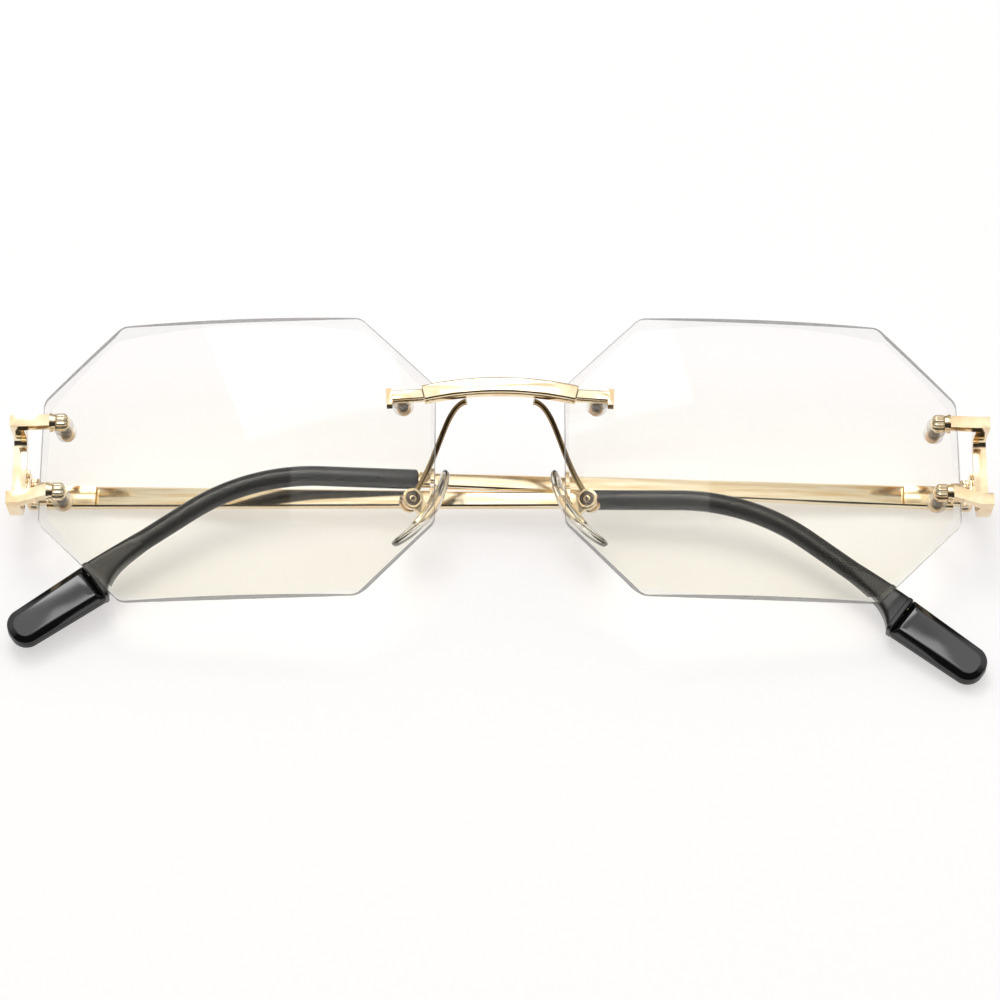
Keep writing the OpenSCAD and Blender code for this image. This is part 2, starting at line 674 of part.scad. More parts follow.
half(-1) color("#f4f2ee", 0.4) lens();  // lens_left
half(1) color("#f4f2ee", 0.4) lens();  // lens_right
standing() color(gold) bridge();
half(-1) color("#f0f0ee", 0.6) lens_washers();  // lens_washers_left
half(1) color("#f0f0ee", 0.6) lens_washers();  // lens_washers_right
half(-1) color(gold) lens_nuts();  // lens_nuts_left
half(1) color(gold) lens_nuts();  // lens_nuts_right
half(-1) color(gold) end_piece(lean_left);  // end_piece_left
half(1) color(gold) end_piece(lean_right);  // end_piece_right
half(-1) color(gold) for (i = [1, 2]) fluted_cap(holes[i]);  // fluted_caps_left
half(1) color(gold) for (i = [1, 2]) fluted_cap(holes[i]);  // fluted_caps_right
half(-1) color(gold) hinge_front(lean_left);  // hinge_front_left
half(1) color(gold) hinge_front(lean_right);  // hinge_front_right
half(-1) color(gold) hinge_screw(lean_left);  // hinge_screw_left
half(1) color(gold) hinge_screw(lean_right);  // hinge_screw_right
half(-1) color(gold) hinge_leaf(lean_left);  // hinge_leaf_left
half(1) color(gold) hinge_leaf(lean_right);  // hinge_leaf_right
half(-1) color(gold) temple_bar(lean_left);  // temple_bar_left
half(1) color(gold) temple_bar(lean_right);  // temple_bar_right
half(-1) color("#4a4845") temple_sleeve(lean_left);  // temple_sleeve_left
half(1) color("#4a4845") temple_sleeve(lean_right);  // temple_sleeve_right
half(-1) color("#1d1d1c") temple_tip(lean_left);  // temple_tip_left
half(1) color("#1d1d1c") temple_tip(lean_right);  // temple_tip_right
half(-1) color(gold) pad_arm();  // pad_arm_left
half(1) color(gold) pad_arm();  // pad_arm_right
half(-1) color(gold) pad_box();  // pad_box_left
half(1) color(gold) pad_box();  // pad_box_right
half(-1) color(gold) pad_screw();  // pad_screw_left
half(1) color(gold) pad_screw();  // pad_screw_right
half(-1) color(gold) pad_mount();  // pad_mount_left
half(1) color(gold) pad_mount();  // pad_mount_right
half(-1) color("#f0f0ee", 0.5) nose_pad();  // nose_pad_left
half(1) color("#f0f0ee", 0.5) nose_pad();  // nose_pad_right
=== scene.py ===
"""Rimless octagonal eyeglasses, folded on a white table with the lenses up."""

import json
import math

import bmesh
import bpy
from mathutils import Matrix, Vector
from mathutils.bvhtree import BVHTree


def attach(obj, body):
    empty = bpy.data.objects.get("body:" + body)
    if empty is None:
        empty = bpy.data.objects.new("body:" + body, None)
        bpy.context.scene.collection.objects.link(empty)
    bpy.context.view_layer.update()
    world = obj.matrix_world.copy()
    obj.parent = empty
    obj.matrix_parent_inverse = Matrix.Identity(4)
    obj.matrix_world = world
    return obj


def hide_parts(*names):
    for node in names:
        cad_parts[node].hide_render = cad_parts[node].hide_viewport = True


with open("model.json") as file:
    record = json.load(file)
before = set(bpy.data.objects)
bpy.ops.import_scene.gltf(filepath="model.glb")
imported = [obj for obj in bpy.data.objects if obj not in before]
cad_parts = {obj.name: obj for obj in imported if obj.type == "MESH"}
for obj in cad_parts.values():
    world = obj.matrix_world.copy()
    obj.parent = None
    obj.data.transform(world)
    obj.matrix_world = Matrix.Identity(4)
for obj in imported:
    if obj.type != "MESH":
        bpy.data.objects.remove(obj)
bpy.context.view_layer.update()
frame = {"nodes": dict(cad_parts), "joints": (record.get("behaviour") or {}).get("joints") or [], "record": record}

MM = 0.001

# Sizes shared with the CAD source, in mm
STAND = math.radians(13.8996)
SEAT = 0.05
LENS_W, LENS_H, LENS_T, LENS_CURVE = 55.0, 41.0, 2.0, 130.0
BACK_CURVE = LENS_CURVE - LENS_T
WRAP = math.radians(5.5)
HALF_GAP = 9.3
LENS_X = HALF_GAP + LENS_W / 2 * math.cos(WRAP)
NASAL_CUT, UPPER_CUT, LOWER_CUT, CORNER_R = 10.5, 10.8, 12.0, 2.0
BEVEL_W, BEVEL_D = 1.2, 0.9
NASAL_U, TEMPLE_U = 4.6 - LENS_W / 2, LENS_W / 2 - 3.2
HOLES = ((NASAL_U, 7.5), (TEMPLE_U, 5.4), (TEMPLE_U, -4.9))
HOLE_R = 0.65
WASHER_R, WASHER_T = 1.45, 0.4
BRIDGE_D, END_BAR_H = 2.0, 1.5
CAP_R, CAP_LEN, CAP_PAST, FLUTES = 1.25, 1.9, 0.7, 10
CAP_OVER = WASHER_T + 2 * SEAT + CAP_R
LIMB_H, C_DEPTH, C_REACH = 1.7, 7.1, 3.8
C_OUTSIDE = LENS_X + LENS_W / 2 * math.cos(WRAP) + C_REACH
LUG_LEN, STOP_GAP = 4.2, 0.1
BAR_T, BARREL_R, BARREL_GAP = 1.3, 0.97, 0.08
BAR_START = BARREL_R + SEAT
BAR_MID = -BARREL_R - BARREL_GAP - BAR_T / 2
HINGE_Y = -0.8
OVER_FOLD = math.radians(3.5)
LEAN = {-1: math.radians(1.5), 1: math.radians(-0.75)}
BAR_LEN, BEND_AT, BEND_R, BEND = 77.0, 100.5, 30.0, math.radians(36.5)
BEND_CUT = BEND_R * math.tan(BEND / 2)
HOOK_LEN, SLEEVE_R, FLARE_LEN = 40.5, 1.4, 6.5
TIP_LEN, TIP_W, TIP_END_W, TIP_T = 13.5, 5.7, 5.1, 3.6
PAD_AT = Vector((12.3, -5.1, -5.9))
PAD_LEAN, PAD_TURN = math.radians(33), math.radians(16)
PAD_LEN, PAD_W, PAD_T, PAD_OFF = 13.2, 6.6, 1.8, 2.9
BOX_R, ARM_R, ARM_LANDS = 1.45, 0.4, math.radians(25)

SIDE = {-1: "left", 1: "right"}


def sag(u, v, r):
    """Depth of a lens surface below its crown."""
    return r - math.sqrt(r * r - u * u - v * v)


def on_lens(u, v, over):
    """Point over a lens's front, in the front's directions."""
    z = over - sag(u, v, LENS_CURVE)
    return Vector((
        LENS_X + u * math.cos(WRAP) + z * math.sin(WRAP), v, z * math.cos(WRAP) - u * math.sin(WRAP)
    ))


CAP_MID = on_lens(TEMPLE_U, (HOLES[1][1] + HOLES[2][1]) / 2, CAP_OVER)
CAP_START = CAP_MID.x + CAP_PAST - CAP_LEN
LUG_BACK = CAP_MID.z + LIMB_H / 2 - C_DEPTH - LUG_LEN
HINGE = Vector((C_OUTSIDE - BAR_T - BARREL_R - BARREL_GAP, HINGE_Y, LUG_BACK - STOP_GAP - BAR_START))

# The front's own directions: x right, y to the lenses' tops, z out of their fronts
joint = next(j for j in frame["joints"] if j["name"] == "temple_right_fold")
TURN = Matrix.Rotation(STAND, 4, "X")
FRONT = Matrix.Translation(Vector(joint["pos_m"]) - TURN @ (HINGE * MM)) @ TURN @ Matrix.Scale(MM, 4)


def half(side):
    """The front's directions for the right half (1) or its mirror image (-1)."""
    return FRONT @ Matrix.Diagonal((side, 1, 1, 1))


def folded(side):
    """A temple's directions: x along it from the hinge, y up, z towards the lens."""
    return (
        half(side)
        @ Matrix.Translation(HINGE)
        @ Matrix.Rotation(LEAN[side], 4, "Z")
        @ Matrix.Rotation(OVER_FOLD, 4, "Y")
        @ Matrix.Diagonal((-1, 1, 1, 1))
    )


def along_hook(past):
    """A temple's directions turned with the bend, at this distance past it."""
    return (
        Matrix.Translation((BEND_AT, 0, BAR_MID))
        @ Matrix.Rotation(-BEND, 4, "Z")
        @ Matrix.Translation((past, 0, 0))
    )


def at_pad(side):
    """A nose pad's directions: z along its screw, x outwards."""
    return (
        half(side)
        @ Matrix.Translation(PAD_AT)
        @ Matrix.Rotation(PAD_LEAN, 4, "Z")
        @ Matrix.Rotation(-PAD_TURN, 4, "Y")
    )


# Materials

# Sizes of the patterns in the surfaces, in mm. Real polishing and tool marks are finer than a pixel,
# so FINE_GRAIN and TOOL_MARK are drawn as coarse as they need to show.
BLOTCH, FINE_GRAIN, TOOL_MARK = 3.85, 1.11, 0.667
SMEAR, WORN_PATCH = 16.67, 11.11


def rgb(code):
    """Linear colour of an sRGB hex value."""
    code = code.lstrip("#")
    out = []
    for i in (0, 2, 4):
        c = int(code[i : i + 2], 16) / 255
        out.append(c / 12.92 if c <= 0.04045 else ((c + 0.055) / 1.055) ** 2.4)
    return (*out, 1.0)


def scale_of(size):
    """Scale of a noise whose patches are about this size, in mm."""
    return 1 / (size * MM)


def add(tree, kind, settings=None, links=None):
    """Adds a node, sets its properties and input values, and links its inputs."""
    node = tree.nodes.new(kind)
    for key, value in (settings or {}).items():
        if isinstance(key, str) and hasattr(node, key) and key not in node.inputs:
            setattr(node, key, value)
        else:
            node.inputs[key].default_value = value
    for key, source in (links or {}).items():
        tree.links.new(source, node.inputs[key])
    return node


def material(name):
    """A new material and its empty node tree."""
    mat = bpy.data.materials.new(name)
    mat.use_nodes = True
    mat.node_tree.nodes.clear()
    return mat, mat.node_tree


def polished_plating(name, colour, deep, rough, streak=None):
    """Pale gold plating: a bright mirror with a faint haze, a little redder and duller in places.

    A streak is given as its length and width in mm.
    """
    mat, tree = material(name)
    at = add(tree, "ShaderNodeTexCoord").outputs["Object"]
    if streak:
        length, width = streak
        stretch = {"Scale": (BLOTCH / length, BLOTCH / width, BLOTCH / width)}
        at = add(tree, "ShaderNodeMapping", stretch, {"Vector": at}).outputs[0]
    patches = {"Scale": scale_of(BLOTCH), "Detail": 4.0}
    haze = add(tree, "ShaderNodeTexNoise", patches, {"Vector": at}).outputs["Fac"]
    part = add(tree, "ShaderNodeMapRange", {"From Min": 0.35, "From Max": 0.75}, {"Value": haze}).outputs[0]
    tone = add(tree, "ShaderNodeMix", {"data_type": "RGBA", 6: rgb(colour), 7: rgb(deep)}, {0: part})
    dull = add(tree, "ShaderNodeMapRange", {"To Min": rough * 0.7, "To Max": rough * 1.5}, {"Value": haze})
    specks = {"Scale": scale_of(FINE_GRAIN), "Detail": 2.0}
    fine = add(tree, "ShaderNodeTexNoise", specks, {"Vector": at}).outputs["Fac"]
    bump = add(tree, "ShaderNodeBump", {"Strength": 0.04, "Distance": 0.03 * MM}, {"Height": fine})
    skin = add(
        tree,
        "ShaderNodeBsdfPrincipled",
        {"Metallic": 1.0},
        {"Base Color": tone.outputs[2], "Roughness": dull.outputs[0], "Normal": bump.outputs[0]},
    )
    add(tree, "ShaderNodeOutputMaterial", None, {"Surface": skin.outputs[0]})
    return mat


def clear_plastic(name, colour, ior, rough, shade, painted_shade_below):
    """Clear plastic: the table shows through it, and its shadow is only a light tint.

    shade is the colour of what passes into the shadow. Towards the lower edge the plastic turns to the lower
    colour given, a painted shade for the table's shadow seen through it.
    """
    mat, tree = material(name)
    at = add(tree, "ShaderNodeTexCoord").outputs["Object"]
    patches = {"Scale": scale_of(SMEAR), "Detail": 3.0}
    smear = add(tree, "ShaderNodeTexNoise", patches, {"Vector": at}).outputs["Fac"]
    dull = add(tree, "ShaderNodeMapRange", {"To Min": rough, "To Max": rough + 0.01}, {"Value": smear})
    # Towards the lower edge the colour turns to the lower one: painted shade for the table's shadow seen through
    # the plastic.
    level = add(tree, "ShaderNodeSeparateXYZ", None, {0: at}).outputs["Y"]
    shade_fade = {"From Min": 18 * MM, "From Max": -12 * MM}
    part = add(tree, "ShaderNodeMapRange", shade_fade, {"Value": level}).outputs[0]
    tone = add(tree, "ShaderNodeMix", {"data_type": "RGBA", 6: rgb(colour), 7: rgb(painted_shade_below)}, {0: part})
    body = add(
        tree,
        "ShaderNodeBsdfPrincipled",
        {"IOR": ior, "Transmission Weight": 1.0},
        {"Base Color": tone.outputs[2], "Roughness": dull.outputs[0]},
    )
    passing = add(tree, "ShaderNodeBsdfTransparent", {"Color": rgb(shade)})
    ray = add(tree, "ShaderNodeLightPath").outputs["Is Shadow Ray"]
    mix = add(tree, "ShaderNodeMixShader", None, {0: ray, 1: body.outputs[0], 2: passing.outputs[0]})
    add(tree, "ShaderNodeOutputMaterial", None, {"Surface": mix.outputs[0]})
    return mat


def veil(name, colour, marked, alpha):
    """Thin clear plastic seen edge on: a veil with fine machining marks."""
    mat, tree = material(name)
    at = add(tree, "ShaderNodeTexCoord").outputs["Object"]
    lines = {"Scale": scale_of(TOOL_MARK), "Detail": 3.0}
    marks = add(tree, "ShaderNodeTexNoise", lines, {"Vector": at}).outputs["Fac"]
    tone = add(tree, "ShaderNodeMix", {"data_type": "RGBA", 6: rgb(colour), 7: rgb(marked)}, {0: marks})
    dull = add(tree, "ShaderNodeMapRange", {"To Min": 0.2, "To Max": 0.4}, {"Value": marks})
    skin = add(
        tree,
        "ShaderNodeBsdfPrincipled",
        {"IOR": 1.45, "Alpha": alpha},
        {"Base Color": tone.outputs[2], "Roughness": dull.outputs[0]},
    )
    add(tree, "ShaderNodeOutputMaterial", None, {"Surface": skin.outputs[0]})
    return mat


def moulded(name, colour, worn, rough, grain_size, ior):
    """Moulded plastic or rubber: a grain of this size in mm, and slightly worn, paler places."""
    mat, tree = material(name)
    at = add(tree, "ShaderNodeTexCoord").outputs["Object"]
    specks = {"Scale": scale_of(grain_size), "Detail": 3.0}
    grain = add(tree, "ShaderNodeTexNoise", specks, {"Vector": at}).outputs["Fac"]
    patches = {"Scale": scale_of(WORN_PATCH), "Detail": 4.0}
    wear = add(tree, "ShaderNodeTexNoise", patches, {"Vector": at}).outputs["Fac"]
    part = add(tree, "ShaderNodeMapRange", {"From Min": 0.45, "From Max": 0.8}, {"Value": wear}).outputs[0]
    tone = add(tree, "ShaderNodeMix", {"data_type": "RGBA", 6: rgb(colour), 7: rgb(worn)}, {0: part})
    spread = {"To Min": rough * 0.85, "To Max": rough * 1.15}
    dull = add(tree, "ShaderNodeMapRange", spread, {"Value": grain})
    bump = add(tree, "ShaderNodeBump", {"Strength": 0.02, "Distance": 0.01 * MM}, {"Height": grain})
    skin = add(
        tree,
        "ShaderNodeBsdfPrincipled",
        {"IOR": ior},
        {"Base Color": tone.outputs[2], "Roughness": dull.outputs[0], "Normal": bump.outputs[0]},
    )
    add(tree, "ShaderNodeOutputMaterial", None, {"Surface": skin.outputs[0]})
    return mat


# Polished gold plating of the bridge and end pieces: pale, warm and mirror-bright
gold = polished_plating("pale gold plating", "#f5e6c6", "#e2be8e", 0.1)
# The flat temple bars were drawn and polished lengthwise, which leaves fine coppery streaks
drawn_gold = polished_plating("gold plating polished lengthwise", "#fdf2d8", "#e8c48e", 0.12, (96.2, 0.641))
# The bent pad wires are a darker, duller gold than the rest of the plating
wire_gold = polished_plating("darker gold wire", "#b59c74", "#8d7450", 0.2)
# The cap nuts behind the lenses are tumbled, not buffed, and blur what they reflect
nut_gold = polished_plating("tumbled gold nut", "#f8d6a0", "#efbf88", 0.5)
# The small screws are duller and greyer than the plating round them
screw = polished_plating("dull plated screw", "#7d746a", "#544c43", 0.3)
# The lenses are clear, with a coat that takes the glare away. Their colour turns warmer and greyer downwards:
# painted shade for the table's shadow seen through their lower part. The low index stands for the coat and keeps
# reflections as faint as the coat does.
lens_plastic = clear_plastic("clear coated polycarbonate", "#fdfcfb", 1.2, 0.0, "#fbf9f4", "#f0eee4")
# The cut edge is painted grey all round: painted shade for the dark line that a lens's edge shows.
lens_edge = veil("polished lens edge", "#8d8b87", "#74726e", 0.75)
# The front arris is painted dark: a painted shadow line round the lens, where the arris catches no light.
lens_arris = veil("front arris of the lens", "#3b3a38", "#2c2b2a", 0.62)
# The bevel behind the edge shows as a soft, faint band
lens_bevel = veil("polished lens bevel", "#b9b7b1", "#a09e99", 0.11)
# Nylon washers are slightly milky
washer_plastic = veil("milky nylon washer", "#f4f0e8", "#e2ddd2", 0.25)
# Soft silicone blurs what lies behind it
silicone = clear_plastic("clear silicone", "#fbfaf6", 1.41, 0.08, "#e6e3dc", "#fbfaf6")
# The sleeves are dark grey with a satin shine
sleeve_rubber = moulded("satin dark grey sleeve", "#1b1b1b", "#232121", 0.23, 0.12, 1.45)
# The tips are gloss black, like piano lacquer, so their index is high
tip_acetate = moulded("gloss black acetate", "#0e0d0d", "#131111", 0.1, 1.5, 1.72)
# Their sides are a shaded copy of the acetate: satin, with a low index so the white table hardly shows in them.
# This is painted shade for the shadow on their lower side.
shaded_tip_side = moulded("shaded black acetate side", "#121111", "#171515", 0.3, 1.5, 1.18)

FINISH = {
    "lens_washers": washer_plastic,
    "lens_nuts": nut_gold,
    "lens": lens_plastic,
    "nose_pad": silicone,
    "temple_bar": drawn_gold,
    "temple_sleeve": sleeve_rubber,
    "temple_tip": tip_acetate,
    "pad_arm": wire_gold,
    "pad_screw": screw,
    "hinge_screw": screw,
}


def finish_of(node):
    """The material of a CAD node, by the longest start of its name in FINISH."""
    for start in sorted(FINISH, key=len, reverse=True):
        if node.startswith(start):
            return FINISH[start]
    return gold


for name, obj in frame["nodes"].items():
    obj.data.materials.clear()
    obj.data.materials.append(finish_of(name))


# Pieces


def body_of(node):
    """The moving body that a CAD node belongs to."""
    bodies = frame["record"]["behaviour"]["bodies"]
    return next(body for body, members in bodies.items() if node in members)


def finish_piece(node, ending, bm, place, finishes, crease):
    """Turns a bmesh into the piece that replaces a CAD node, smooth but for edges over the crease."""
    bmesh.ops.transform(bm, matrix=place, verts=bm.verts)
    bmesh.ops.recalc_face_normals(bm, faces=bm.faces)
    mesh = bpy.data.meshes.new(node + ending)
    bm.to_mesh(mesh)
    bm.free()
    mesh.shade_smooth()
    mesh.set_sharp_from_angle(angle=math.radians(crease))
    for finish in finishes:
        mesh.materials.append(finish)
    piece = bpy.data.objects.new(node + ending, mesh)
    bpy.context.scene.collection.objects.link(piece)
    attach(piece, body_of(node))
    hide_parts(node)


def rounded(points, r, steps):
    """Corners of an outline, each rounded by r in this many steps."""
    out = []
    n = len(points)
    for i in range(n):
        p, a, b = Vector(points[i]), Vector(points[i - 1]), Vector(points[(i + 1) % n])
        ua, ub = (a - p).normalized(), (b - p).normalized()
        angle = ua.angle(ub) / 2
        mid = (ua + ub).normalized()
        c = p + mid * (r / math.sin(angle))
        start = math.atan2(-mid.y, -mid.x)
        turn = (math.pi / 2 - angle) * (1 if ua.x * ub.y - ua.y * ub.x > 0 else -1)
        for k in range(steps + 1):
            t = start + turn * (1 - 2 * k / steps)
            out.append((c.x + r * math.cos(t), c.y + r * math.sin(t)))
    return out


def sides_of(outline):
    """The sides of an outline round the origin, each as its two ends and its outward direction."""
    for i, point in enumerate(outline):
        a, b = Vector(point), Vector(outline[(i + 1) % len(outline)])
        out = Vector((b.y - a.y, a.x - b.x)).normalized()
        yield a, b, out if out.dot(a) > 0 else -out


def whole(bm):
    """All vertices, edges and faces of a bmesh."""
    return bm.verts[:] + bm.edges[:] + bm.faces[:]


def new_verts(grown):
    """The vertices among what an extrusion made."""
    return [v for v in grown["geom"] if isinstance(v, bmesh.types.BMVert)]


def new_edges(grown, key="geom"):
    """The edges among what an extrusion or a cut made."""
    return [e for e in grown[key] if isinstance(e, bmesh.types.BMEdge)]


def folded_edges(bm, angle):
    """The edges where the surface turns by more than this angle."""
    return [e for e in bm.edges if e.is_manifold and e.calc_face_angle() > angle]


def bevel(bm, edges, width, segments, clamp=True):
    """The bevel that every eased edge gets."""
    bmesh.ops.bevel(
        bm, geom=edges, offset=width, offset_type="OFFSET", segments=segments, profile=0.5,
        affect="EDGES", clamp_overlap=clamp, material=-1,
    )


def near(edge, point, reach):
    """Whether the point lies within reach of the edge."""
    a, b = (v.co for v in edge.verts)
    along = max(0.0, min(1.0, (point - a).dot(b - a) / (b - a).length_squared))
    return (point - a.lerp(b, along)).length < reach


def has_room(edge, width):
    """Whether every edge that branches off this one is long enough to take a bevel of this width.

    An edge that runs on in nearly the same direction is no branch.
    """
    room, onward = 1.6 * width, 0.8
    for v in edge.verts:
        way = (edge.other_vert(v).co - v.co).normalized()
        for other in v.link_edges:
            branch = other.other_vert(v).co - v.co
            if other is not edge and abs(branch.normalized().dot(way)) < onward and branch.length < room:
                return False
    return True


def bevel_fully(bm, edges, width, segments):
    """The solid bm with a bevel of the full width, save on edges where it would throw up a spike."""
    strayed, reach = 0.33 * width, 1.5 * width
    bm.edges.index_update()
    skin = BVHTree.FromBMesh(bm)
    edges = [e for e in edges if has_room(e, width)]
    while True:
        trial = bm.copy()
        trial.edges.ensure_lookup_table()
        bevel(trial, [trial.edges[e.index] for e in edges], width, segments, clamp=False)
        spikes = [v.co.copy() for v in trial.verts if skin.find_nearest(v.co)[3] > strayed]
        sound = [e for e in edges if not any(near(e, p, reach) for p in spikes)]
        if len(sound) == len(edges):
            bm.free()
            return trial
        trial.free()
        edges = sound


def eased(node, width, segments=2, fully=False):
    """A CAD node with its edges eased, as polishing leaves them.

    The width is the most that an edge gets. Unless fully is set, the clamp narrows it to what the piece's
    short edges leave: the nuts get all of it, but the end pieces 0.01 to 0.02 mm and the bars 0.003 mm.
    """
    bm = bmesh.new()
    bm.from_mesh(frame["nodes"][node].data)
    bmesh.ops.remove_doubles(bm, verts=bm.verts, dist=2e-7)
    bmesh.ops.dissolve_limit(bm, angle_limit=math.radians(0.6), verts=bm.verts, edges=bm.edges)
    edges = folded_edges(bm, math.radians(28))
    if fully:
        bm = bevel_fully(bm, edges, width * MM, segments)
    else:
        bevel(bm, edges, width * MM, segments)
    finish_piece(node, "_polished", bm, Matrix.Identity(4), [finish_of(node)], 35)


def cut_away(bm, tool):
    """The solid bm less the solid tool."""
    objects = []
    for name, shape in (("blank", bm), ("tool", tool)):
        mesh = bpy.data.meshes.new(name)
        shape.to_mesh(mesh)
        shape.free()
        objects.append(bpy.data.objects.new(name, mesh))
        bpy.context.scene.collection.objects.link(objects[-1])
    blank, tool = objects
    cut = blank.modifiers.new("cut", "BOOLEAN")
    cut.operation, cut.solver, cut.object = "DIFFERENCE", "EXACT", tool
    out = bmesh.new()
    out.from_object(blank, bpy.context.evaluated_depsgraph_get())
    for obj in objects:
        mesh = obj.data
        bpy.data.objects.remove(obj)
        bpy.data.meshes.remove(mesh)
    return out


def lens(side):
    """An octagonal lens: curved front and back, and a bevel ground round the back."""
    w, h = LENS_W / 2, LENS_H / 2
    outline = [
        (NASAL_CUT - w, h), (-w, h - NASAL_CUT), (-w, NASAL_CUT - h), (NASAL_CUT - w, -h),
        (w - LOWER_CUT, -h), (w, LOWER_CUT - h), (w, h - UPPER_CUT), (w - UPPER_CUT, h),
    ]
    margin, arris, front_depth = 1, 0.1, 0.2
    bm = bmesh.new()
    bmesh.ops.create_grid(bm, x_segments=60, y_segments=46, size=0.5)
    bmesh.ops.scale(bm, vec=(LENS_W + margin, LENS_H + margin, 1), verts=bm.verts)

    def trim(co, no):
        cut = bmesh.ops.bisect_plane(
            bm, geom=whole(bm), dist=1e-4, plane_co=co, plane_no=no, clear_outer=True
        )
        return new_edges(cut, "geom_cut")

    for a, b, out in sides_of(rounded(outline, CORNER_R, 6)):
        trim((a.x, a.y, 0), (out.x, out.y, 0))
    back = set(new_verts(bmesh.ops.extrude_face_region(bm, geom=bm.faces[:])))
    for v in bm.verts:
        if v in back:
            v.co.z = -LENS_T - sag(v.co.x, v.co.y, BACK_CURVE)
        else:
            v.co.z = -sag(v.co.x, v.co.y, LENS_CURVE)
    # Each side's bevel starts halfway between the levels that the curved back has at its middle and its ends
    for a, b, out in sides_of(outline):
        mid = (a + b) / 2
        middle_sag = sag(mid.x, mid.y, BACK_CURVE)
        fall = (sag(a.x, a.y, BACK_CURVE) - middle_sag) / 2
        z = BEVEL_D - LENS_T - middle_sag - fall
        edges = trim((mid.x, mid.y, z), (out.x * BEVEL_D, out.y * BEVEL_D, -BEVEL_W))
        bmesh.ops.holes_fill(bm, edges=edges, sides=0)
    bmesh.ops.recalc_face_normals(bm, faces=bm.faces)

    def at_front(edge):
        u, v, z = edge.verts[0].co
        return z > -front_depth - sag(u, v, LENS_CURVE)

    bevel(bm, [e for e in folded_edges(bm, 1.2) if at_front(e)], arris, 2)
    drill = bmesh.new()
    for u, v in HOLES:
        bmesh.ops.create_cone(
            drill, cap_ends=True, segments=48, radius1=HOLE_R, radius2=HOLE_R, depth=6 * LENS_T,
            matrix=Matrix.Translation((u, v, -sag(u, v, LENS_CURVE))),
        )
    bm = cut_away(bm, drill)
    plastics = [lens_plastic, lens_edge, lens_bevel, lens_arris]
    flat, upright = 0.95, 0.3
    # The edge and the front arris carry the painted shade of the lens's dark outline.
    for face in bm.faces:
        z = face.normal.z
        if abs(z) > flat:
            finish = lens_plastic
        elif abs(z) < upright:
            finish = lens_edge
        else:
            finish = lens_arris if z > 0 else lens_bevel
        face.material_index = plastics.index(finish)
    place = half(side) @ Matrix.Translation((LENS_X, 0, 0)) @ Matrix.Rotation(WRAP, 4, "Y")
    finish_piece("lens_" + SIDE[side], "_clear", bm, place, plastics, 12)


def oval(w, h, n=2.0):
    """A section of half width w and half height h: round at n = 2, squarer above it."""

    def at(a):
        c, s = math.cos(a), math.sin(a)
        return math.copysign(abs(c) ** (2 / n), c) * w, math.copysign(abs(s) ** (2 / n), s) * h

    return at


def swept(bm, stations, sides):
    """A bar through stations, each a place and a section across that place's x."""
    ring = bmesh.ops.create_circle(bm, cap_ends=True, segments=sides, radius=1)["verts"]
    edges = list({e for v in ring for e in v.link_edges})

    def lay(verts, place, section):
        for i, v in enumerate(verts):
            y, z = section(2 * math.pi * i / sides)
            v.co = place @ Vector((0, y, z))

    lay(ring, *stations[0])
    for station in stations[1:]:
        grown = bmesh.ops.extrude_edge_only(bm, edges=edges)
        edges = new_edges(grown)
        new = set(new_verts(grown))
        ring = [next(e.other_vert(v) for e in v.link_edges if e.other_vert(v) in new) for v in ring]
        lay(ring, *station)
    bmesh.ops.contextual_create(bm, geom=edges)
    return bm


def along(t):
    """Place at the distance t along a temple's middle line."""
    start = BEND_AT - BEND_CUT
    arc = BEND_R * BEND
    if t < start:
        return Matrix.Translation((t, 0, BAR_MID))
    if t < start + arc:
        a = (t - start) / BEND_R
        return (
            Matrix.Translation((start + BEND_R * math.sin(a), -BEND_R * (1 - math.cos(a)), BAR_MID))
            @ Matrix.Rotation(-a, 4, "Z")
        )
    return along_hook(t - start - arc + BEND_CUT)


def sleeve(side):
    """The grey sleeve: round, bent, and widening to a flat collar at the tip."""
    early, collar, round_off = 3.0, 0.75, 0.4
    seam_t = BEND_AT - BEND_CUT + BEND_R * BEND + (HOOK_LEN - TIP_LEN) - BEND_CUT
    flare_t = seam_t - FLARE_LEN - early
    first = BAR_LEN + SEAT
    stations = []
    # The sleeve's open end is rounded over a short length
    for t, less in ((first, 0.35), (first + 0.12, 0.12), (first + round_off, 0.0)):
        stations.append((along(t), oval(SLEEVE_R - less, SLEEVE_R - less)))
    steps = 44
    for i in range(1, steps):
        t = first + round_off + (flare_t - first - round_off) * i / steps
        stations.append((along(t), oval(SLEEVE_R, SLEEVE_R)))
    # The flare grows slowly, then fast, to just inside the collar, with its upper side straight
    neck_w, neck_t = TIP_W / 2 - 0.16, TIP_T / 2 - 0.12
    length = FLARE_LEN + early - collar
    steps = 26
    for i in range(steps + 1):
        f = i / steps
        wide = SLEEVE_R + (neck_w - SLEEVE_R) * (0.2 * f**1.6 + 0.8 * f**4.5)
        thick = SLEEVE_R + (neck_t - SLEEVE_R) * min(1, f * 1.1) ** 1.5
        drop = Matrix.Translation((0, SLEEVE_R - 0.05 * f - wide, 0))
        stations.append((along(flare_t + length * f) @ drop, oval(wide, thick, 2 + 5 * f**1.1)))
    # The collar has a narrow groove before it and softened edges
    drop = Matrix.Translation((0, SLEEVE_R - TIP_W / 2, 0))
    for back, less in ((collar - 0.02, 0.1), (collar - 0.12, 0.0), (0.15, 0.0), (0.07, 0.08)):
        stations.append((along(seam_t - back) @ drop, oval(TIP_W / 2 - less, TIP_T / 2 - less, 7)))
    bm = swept(bmesh.new(), stations, 64)
    finish_piece("temple_sleeve_" + SIDE[side], "_satin", bm, folded(side), [sleeve_rubber], 35)


